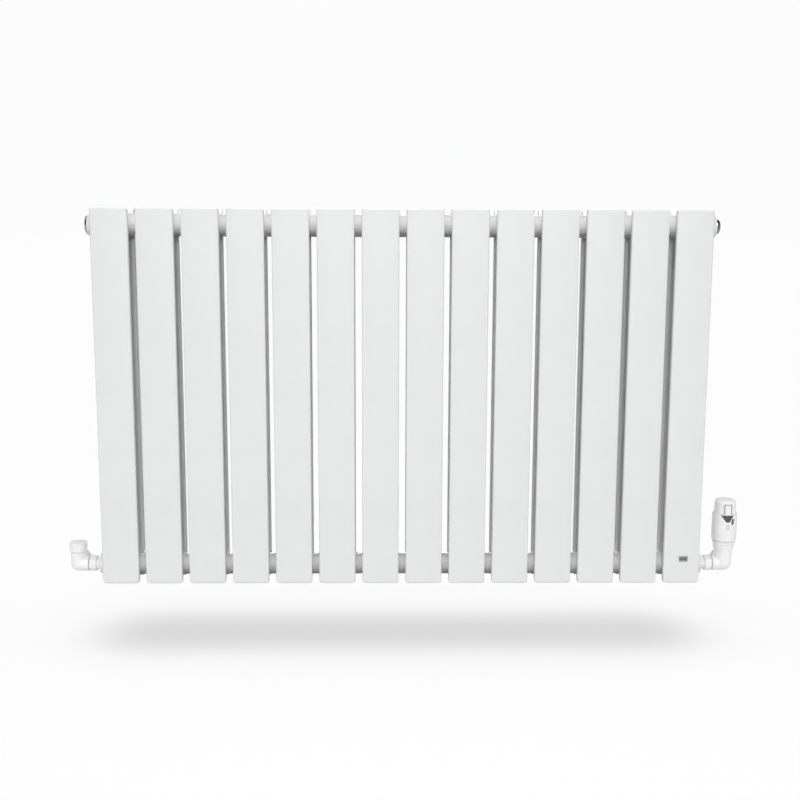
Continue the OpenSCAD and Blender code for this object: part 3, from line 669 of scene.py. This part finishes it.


# ---- printed marks on the head: a plain zero mark, dial numbers and an end mark; on the cap's tab, painted shade lines at its sides and a printed bar ----

ZERO_ANGLE = -math.pi / 2
FIRST_NUMBER = math.radians(124)
NUMBER_STEP = math.radians(38)
# Half the spacing of the painted shade lines at the sides of the cap's tab
TAB_LINE_HALF = 5.6


def wrap_on_sleeve(bm, angle, z, proud):
    """Wraps flat artwork, drawn in millimetres about its own middle, round the sleeve."""
    for v in bm.verts:
        height = z + v.co.y
        radius = sleeve_radius(height) + proud * (1 if v.co.z > 0 else -2)
        a = angle + v.co.x / sleeve_radius(height)
        v.co = Vector((radius * math.cos(a), radius * math.sin(a), height)) + TRV / MM


def cut_up(art, step):
    """Cuts flat artwork into small pieces so that it can bend."""
    for axis in (0, 1):
        places = [v.co[axis] for v in art.verts]
        normal = Vector((axis == 0, axis == 1, 0))
        for k in range(1, math.ceil((max(places) - min(places)) / step)):
            everything = art.verts[:] + art.edges[:] + art.faces[:]
            cut = normal * (min(places) + k * step)
            bmesh.ops.bisect_plane(art, geom=everything, plane_co=cut, plane_no=normal)


def add_flat(bm, outline, step):
    """Flat artwork with a top and a bottom face, cut into small pieces."""
    art = bmesh.new()
    art.faces.new([art.verts.new((x, y, 0.5)) for x, y in outline])
    cut_up(art, step)
    extruded = bmesh.ops.extrude_face_region(art, geom=art.faces[:])
    lower = [e for e in extruded["geom"] if isinstance(e, bmesh.types.BMVert)]
    bmesh.ops.translate(art, vec=(0, 0, -1), verts=lower)
    mesh = bpy.data.meshes.new("art")
    art.to_mesh(mesh)
    art.free()
    bm.from_mesh(mesh)
    bpy.data.meshes.remove(mesh)


def digit_mesh(character, height):
    """A number as flat artwork of the given height in millimetres, about its own middle."""
    curve = bpy.data.curves.new("digit", "FONT")
    curve.body = character
    curve.align_x = "CENTER"
    curve.size = height / 0.7
    curve.resolution_u = 6
    curve.extrude = 0.5
    holder = bpy.data.objects.new("digit", curve)
    bpy.context.scene.collection.objects.link(holder)
    mesh = bpy.data.meshes.new_from_object(holder.evaluated_get(bpy.context.evaluated_depsgraph_get()))
    bpy.data.objects.remove(holder)
    bpy.data.curves.remove(curve)
    mesh.transform(Matrix.Translation((0, -height / 2, 0)))
    return mesh


def build_marks():
    zero = bmesh.new()
    add_flat(zero, [(-12, 5.6), (9.6, 5.6), (3, -6), (-2.6, -6)], 1.0)
    wrap_on_sleeve(zero, ZERO_ANGLE, SLEEVE_HIGH - 6.4, 0.06)
    dress(finish_mesh("dial_zero_mark", zero), "trv_sleeve", "sleeve_plastic", material=MARK_DARK)

    end = bmesh.new()
    angles = (2 * math.pi * k / 28 for k in range(28))
    oval = [(2.4 * math.cos(a), 5.4 * math.sin(a)) for a in angles]
    add_flat(end, [(x + 0.16 * y, y) for x, y in oval], 1.0)
    wrap_on_sleeve(end, ZERO_ANGLE + math.radians(24), 73.4, 0.06)
    dress(finish_mesh("dial_end_mark", end), "trv_sleeve", "sleeve_plastic", material=MARK_DARK)

    # The two side strips are painted shade, dark lines standing in for the shadow along the tab's sides;
    # the bar across their tops is a printed mark
    tab_lines = bmesh.new()
    strips = ((-1, 0, 1.1, 16.4), (1, 0, 1.1, 16.4), (0, 7.6, 2 * TAB_LINE_HALF, 0.9))
    for side, rise, width, height in strips:
        strip = bmesh.new()
        add_flat(strip, rectangle(width, height, 0.4), 1.0)
        for v in strip.verts:
            height = (TAB_LOW + TAB_HIGH) / 2 + rise + v.co.y
            radius = CAP_R + (CAP_TOP_R - CAP_R) * (height - CAP_LOW) / (CAP_TOP - CAP_LOW)
            radius += TAB_PROUD + (0.08 if v.co.z > 0 else -0.4)
            across = side * TAB_LINE_HALF + v.co.x
            v.co = Vector((across, -math.sqrt(radius ** 2 - across ** 2), height)) + TRV / MM
        mesh = bpy.data.meshes.new("strip")
        strip.to_mesh(mesh)
        strip.free()
        tab_lines.from_mesh(mesh)
        bpy.data.meshes.remove(mesh)
    dress(finish_mesh("cap_index_lines", tab_lines), "radiator", "head_plastic", material=TAB_SHADE_AND_PRINT_GREY)

    numbers = bmesh.new()
    for k in range(6):
        one = bmesh.new()
        art = digit_mesh(str(k), 7.4)
        one.from_mesh(art)
        bpy.data.meshes.remove(art)
        cut_up(one, 0.5)
        turn = FIRST_NUMBER + (k - 1) * NUMBER_STEP if k else 0
        wrap_on_sleeve(one, ZERO_ANGLE - turn, 65, 0.06)
        wrapped = bpy.data.meshes.new("wrapped")
        one.to_mesh(wrapped)
        one.free()
        numbers.from_mesh(wrapped)
        bpy.data.meshes.remove(wrapped)
    dress(finish_mesh("dial_numbers", numbers), "trv_sleeve", "sleeve_plastic", material=MARK_GREY)


# ---- spring inside the thermostatic head ----

def build_overtravel_spring():
    """The spring over the sensor, built at the CAD node's length on a mesh of its own. In the head it
    shortens as the sensor rises with the turning sleeve.
    """
    low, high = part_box("trv_overtravel_spring")
    length = (high.z - low.z) / MM
    wire_r, turns, steps, sides = 0.7, 5, 160, 10
    mean_r = (high.x - low.x) / 2 / MM - wire_r
    bm = bmesh.new()
    rings = []
    for i in range(steps + 1):
        angle = 2 * math.pi * turns * i / steps
        height = wire_r + (length - 2 * wire_r) * i / steps
        ring = []
        for k in range(sides):
            around = 2 * math.pi * k / sides
            r = mean_r + wire_r * math.cos(around)
            point = Vector((r * math.cos(angle), r * math.sin(angle), height + wire_r * math.sin(around)))
            ring.append(bm.verts.new(point + Vector((TRV.x, TRV.y, low.z)) / MM))
        rings.append(ring)
    for a, b in zip(rings, rings[1:]):
        for k in range(sides):
            n = (k + 1) % sides
            bm.faces.new((a[k], b[k], b[n], a[n]))
    bm.faces.new(rings[0])
    bm.faces.new(rings[-1][::-1])
    spring = dress(finish_mesh("head_spring", bm), "radiator", "spring_steel", "trv_overtravel_spring")
    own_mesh(spring)


# ---- lockshield cap ----

def build_lockshield_cap():
    edge_r, top, dome = 2, 36.2, 1.4
    shell = [(11.15, 19.5), (12.5, 19.5, 0.3), (14, 23.3, 0.8), (14, top - edge_r)]
    shell = round_corners(shell + [(11.15, top - edge_r)])[:-1]
    shell += [(14 - edge_r + edge_r * math.cos(a), top - edge_r + edge_r * math.sin(a))
              for a in (math.radians(80 * k / 8) for k in range(1, 9))]
    rim_r, rim_z = shell[-1]
    shell += [(rim_r * (1 - k / 6), top + dome - (top + dome - rim_z) * (1 - k / 6) ** 2)
              for k in range(1, 7)]
    shell += [(0, 32.3), (4.7, 32.3), (4.7, 26.8), (11.15, 26.8)]
    dress(turned("lockshield_cover", shell, LOCKSHIELD, segments=144), "lockshield_cap", "cap_plastic",
          "lockshield_cap")


# ---- wall fixing ----

def side_view(x, thickness, outline, z, bm, bevel):
    """A plate cut along Y and Z, as thick along X as stated."""
    standing = Matrix(((0, 0, 1, 0), (1, 0, 0, 0), (0, 1, 0, 0), (0, 0, 0, 1)))
    add_slab(bm, [outline], thickness, bevel, Matrix.Translation((x / MM, 0, z / MM)) @ standing)


def build_brackets():
    lug_width, plate_height = 30, 74
    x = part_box("hanging_lugs")[1].x - lug_width / 2 * MM
    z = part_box("wall_brackets")[1].z - plate_height / 2 * MM
    arm = round_corners([
        (-2.9, -22, 0), (-15, -22, 0), (-15.9, -17.4, 3), (-22.4, -10.9, 3), (-27, -10, 0), (-27, 8, 1.2),
        (-20.7, 8, 1.2), (-20.7, -6, 0.8), (-15.3, -6, 0.8), (-15.3, 8, 1.2), (-2.9, 8, 0)])
    lug = round_corners([
        (-35, -8, 0.8), (-32, -8, 0.8), (-32, 9.6, 1), (-19.5, 9.6, 0.4), (-19.5, -4.9, 0.8),
        (-16.5, -4.9, 0.8), (-16.5, 12.6, 2.4), (-32, 12.6, 0.4), (-32, 22, 0.8), (-35, 22, 0.8)])
    plate = rectangle(32, plate_height, 4)
    flat = Matrix.Rotation(math.radians(90), 4, "X")
    for side_name, sx in (("left", -1), ("right", 1)):
        for level, sz in (("lower", -1), ("upper", 1)):
            bm = bmesh.new()
            at = Matrix.Translation((sx * x / MM, -1.5, sz * z / MM)) @ flat
            add_slab(bm, [plate, circle(3.25, 0, 25), circle(3.25, 0, -25)], 3, 0.4, at)
            side_view(sx * x, 5, arm, sz * z, bm, 0.5)
            bracket = finish_mesh(f"bracket_{level}_{side_name}", bm, 30)
            dress(bracket, "radiator", "bracket_paint", "wall_brackets")
            bm = bmesh.new()
            side_view(sx * x, lug_width, lug, sz * z, bm, 0.4)
            welded_lug = finish_mesh(f"lug_{level}_{side_name}", bm, 30)
            dress(welded_lug, "radiator", "bracket_paint", "hanging_lugs")


# ---- stage, light and camera ----

FLOOR_DROP = 0.093
FLOOR_WIDTH = 240
FLOOR_GREY = 0.35
FLOOR_GLOW = 0.688
ROOM_GREY = (0.972, 0.972, 0.974, 1)
DOME_FRONT = 0.06
DOME_BACK = 0.06
# The valves and bushes, the headers and the chrome fittings have lights of their own
VALVES = ("end_bushes", "valve_tails", "valve_union_nuts", "pipe_nuts", "trv_casting",
          "lockshield_casting", "head_collar", "head_core", "head_sleeve", "head_cap",
          "dial_zero_mark", "dial_end_mark", "dial_numbers", "cap_index_lines", "lockshield_cover")
HEADERS = ("top_header_tube", "bottom_header_tube")
CHROME = ("end_plug", "vent_plug", "bleed_key")
# Each light has a name, a strength and three angles in degrees: spread, tilt and side
FLOOR_LIGHT = ("overhead", 2.43, 90, 0, 0)
PANEL_LIGHTS = (
    ("front_key", 2.08, 25, 72, 0),
    ("left_key", 0.95, 40, 60, -65),
    ("right_key", 0.95, 40, 60, 65),
    ("above", 0.9, 40, 2, 0),
)
OWN_LIGHTS = (
    ("valves_front", 0.75, 80, 75, 0, VALVES),
    ("valves_left", 1.25, 80, 65, -50, VALVES),
    ("valves_right", 1.25, 80, 65, 50, VALVES),
    ("valves_above", 0.7, 120, 5, 0, VALVES),
    ("valves_below", 1.3, 150, 165, 0, VALVES),
    ("valves_behind", 1.1, 90, 65, 180, VALVES),
    ("top_header_light", 2.4, 60, 45, 0, HEADERS[:1]),
    ("bottom_header_light", 1.7, 60, 45, 0, HEADERS[1:]),
    ("glint", 3.0, 30, 60, 25, CHROME),
)
REAR_LIGHT = ("behind", 2.4, 20, 72, 180)
# The flag under the radiator, in millimetres, and its height over the floor in metres
FLAG_X = -5
FLAG_HALF_X = 490
FLAG_FRONT = -166
FLAG_BACK = 45
FLAG_CORNER_R = 60
FLAG_RISE = 0.091
# The camera's place from the panels' lower front edge in metres, its lens in millimetres and its angles
CAMERA_SIDE = -0.0303
CAMERA_DISTANCE = 1.7238
CAMERA_HEIGHT = 0.5651
CAMERA_LENS = 49.5
CAMERA_PITCH = math.radians(8.70)
CAMERA_YAW = math.radians(0.87)
CAMERA_ROLL = math.radians(0.19)


def build_floor():
    """A pale floor with a glow of its own, which doesn't light the radiator, so its gaps stay dark."""
    bm = bmesh.new()
    bmesh.ops.create_grid(bm, x_segments=8, y_segments=8, size=FLOOR_WIDTH / 2 / MM)
    floor = finish_mesh("studio_floor", bm)
    floor.location.z = PANEL_LOW - FLOOR_DROP
    material, _, shader = nodes_of("pale_floor")
    shader.inputs["Base Color"].default_value = (FLOOR_GREY, FLOOR_GREY, FLOOR_GREY, 1)
    shader.inputs["Emission Color"].default_value = (1, 1, 1, 1)
    shader.inputs["Emission Strength"].default_value = FLOOR_GLOW
    shader.inputs["Roughness"].default_value = 1.0
    shader.inputs["Specular IOR Level"].default_value = 0.0
    floor.data.materials.append(material)
    floor.visible_diffuse = False
    return floor


def build_world():
    """The camera sees an even pale room. The pieces get a faint light from it, from DOME_BACK behind
    them to DOME_FRONT before them."""
    world = bpy.data.worlds.new("studio")
    world.use_nodes = True
    tree = world.node_tree
    tree.nodes.clear()
    path = tree.nodes.new("ShaderNodeLightPath")
    seen = tree.nodes.new("ShaderNodeBackground")
    seen.inputs["Color"].default_value = ROOM_GREY
    coordinates = tree.nodes.new("ShaderNodeTexCoord")
    split = tree.nodes.new("ShaderNodeSeparateXYZ")
    tree.links.new(coordinates.outputs["Generated"], split.inputs["Vector"])
    ramp = tree.nodes.new("ShaderNodeMapRange")
    ramp.inputs["From Min"].default_value = 0.35
    ramp.inputs["From Max"].default_value = -0.25
    ramp.inputs["To Min"].default_value = DOME_BACK
    ramp.inputs["To Max"].default_value = DOME_FRONT
    tree.links.new(split.outputs["Y"], ramp.inputs["Value"])
    lit = tree.nodes.new("ShaderNodeBackground")
    tree.links.new(ramp.outputs["Result"], lit.inputs["Strength"])
    mix = tree.nodes.new("ShaderNodeMixShader")
    tree.links.new(path.outputs["Is Camera Ray"], mix.inputs["Fac"])
    tree.links.new(lit.outputs["Background"], mix.inputs[1])
    tree.links.new(seen.outputs["Background"], mix.inputs[2])
    out = tree.nodes.new("ShaderNodeOutputWorld")
    tree.links.new(mix.outputs["Shader"], out.inputs["Surface"])
    bpy.context.scene.world = world


def build_lights(floor):
    overhead = soft_sun(*FLOOR_LIGHT)
    overhead.light_linking.receiver_collection = linked("floor_only", floor)
    overhead.light_linking.blocker_collection = linked("flag_only", build_flag(floor))
    valves = [bpy.data.objects[name] for name in VALVES]
    headers = [bpy.data.objects[name] for name in HEADERS]
    front = linked("all_but_floor_valves_and_headers", floor, *valves, *headers, state="EXCLUDE")
    rear = linked("all_but_floor_and_valves", floor, *valves, state="EXCLUDE")
    for light in PANEL_LIGHTS:
        soft_sun(*light).light_linking.receiver_collection = front
    soft_sun(*REAR_LIGHT).light_linking.receiver_collection = rear
    for *light, names in OWN_LIGHTS:
        own = linked("lit_by_" + light[0], *(bpy.data.objects[name] for name in names))
        sun = soft_sun(*light)
        sun.light_linking.receiver_collection = own
        sun.light_linking.blocker_collection = own


def linked(name, *members, state="INCLUDE"):
    """A light's list of the objects that it reaches, or with EXCLUDE that it doesn't."""
    collection = bpy.data.collections.new(name)
    for member in members:
        collection.objects.link(member)
    for entry in collection.collection_objects:
        entry.light_linking.link_state = state
    return collection


def build_flag(floor):
    """An unseen card under the radiator that gives its soft shadow on the floor."""
    card = bmesh.new()
    outline = rectangle(2 * FLAG_HALF_X, FLAG_BACK - FLAG_FRONT, FLAG_CORNER_R)
    middle = Matrix.Translation((FLAG_X, (FLAG_BACK + FLAG_FRONT) / 2, 0))
    add_slab(card, [outline], 1, 0.2, middle)
    flag = finish_mesh("shadow_flag", card)
    flag.location.z = floor.location.z + FLAG_RISE
    flag.visible_camera = False
    flag.visible_diffuse = False
    flag.visible_glossy = False
    flag.visible_transmission = False
    flag.data.materials.append(floor.data.materials[0])
    return flag


def soft_sun(name, strength, spread, tilt, side):
    """A broad soft light. Tilt leans it from overhead towards the room, and side turns it about Z."""
    light = bpy.data.lights.new(name, "SUN")
    light.energy = strength
    light.angle = math.radians(spread)
    holder = bpy.data.objects.new(name, light)
    holder.rotation_euler = (math.radians(tilt), 0, math.radians(side))
    bpy.context.scene.collection.objects.link(holder)
    return holder


def build_camera():
    camera = bpy.data.objects.new("camera", bpy.data.cameras.new("camera"))
    camera.data.lens = CAMERA_LENS
    camera.data.sensor_width = 36
    camera.data.clip_start = 0.05
    camera.data.clip_end = 400
    forward = Vector((math.sin(CAMERA_YAW) * math.cos(CAMERA_PITCH),
                      math.cos(CAMERA_YAW) * math.cos(CAMERA_PITCH), -math.sin(CAMERA_PITCH)))
    level = Vector((math.cos(CAMERA_YAW), -math.sin(CAMERA_YAW), 0))
    upright = level.cross(forward)
    right = level * math.cos(CAMERA_ROLL) + upright * math.sin(CAMERA_ROLL)
    up = upright * math.cos(CAMERA_ROLL) - level * math.sin(CAMERA_ROLL)
    turn = Matrix((right, up, -forward)).transposed().to_4x4()
    place = Vector((CAMERA_SIDE, FRONT_Y - CAMERA_DISTANCE, PANEL_LOW + CAMERA_HEIGHT))
    camera.matrix_world = Matrix.Translation(place) @ turn
    bpy.context.scene.collection.objects.link(camera)
    bpy.context.scene.camera = camera


# ---- the scene ----

build_camera()
dress_cad_nodes()
build_panels()
build_stubs()
build_headers()
build_bushes()
build_plug()
build_vent()
build_badge()
build_unions()
build_compression_nuts()
build_bodies()
build_head()
build_marks()
build_overtravel_spring()
build_lockshield_cap()
build_brackets()
build_world()
build_lights(build_floor())
bpy.context.scene.view_settings.view_transform = "Standard"
